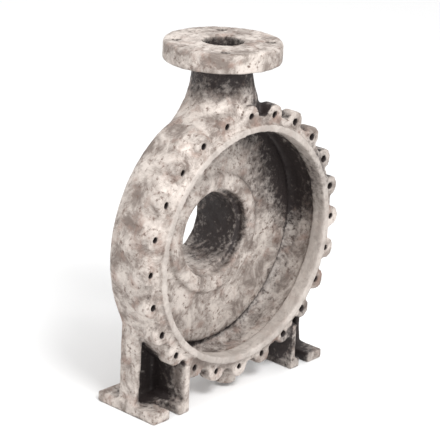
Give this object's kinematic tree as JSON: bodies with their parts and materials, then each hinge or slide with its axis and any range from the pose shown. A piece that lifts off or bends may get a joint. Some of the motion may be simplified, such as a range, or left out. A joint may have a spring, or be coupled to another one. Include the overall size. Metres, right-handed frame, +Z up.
{
  "type": "volute pump casing",
  "caption": "Cast end-suction pump casing: a scroll with an upright discharge flange, an open cover side with a ring of stud lugs, a rear suction nozzle and two ribbed feet.",
  "frame": {"origin": "where the shaft axis crosses the machined cover face", "axes": "+Z up towards the discharge flange, +Y along the shaft from the open cover side to the suction flange, X across the feet"},
  "size_m": [0.45, 0.195, 0.563],
  "materials": {
    "casting": "rough sand-cast grey iron with light rust"
  },
  "bodies": {
    "root": {"volute_casing": "casting"}
  },
  "joints": []
}
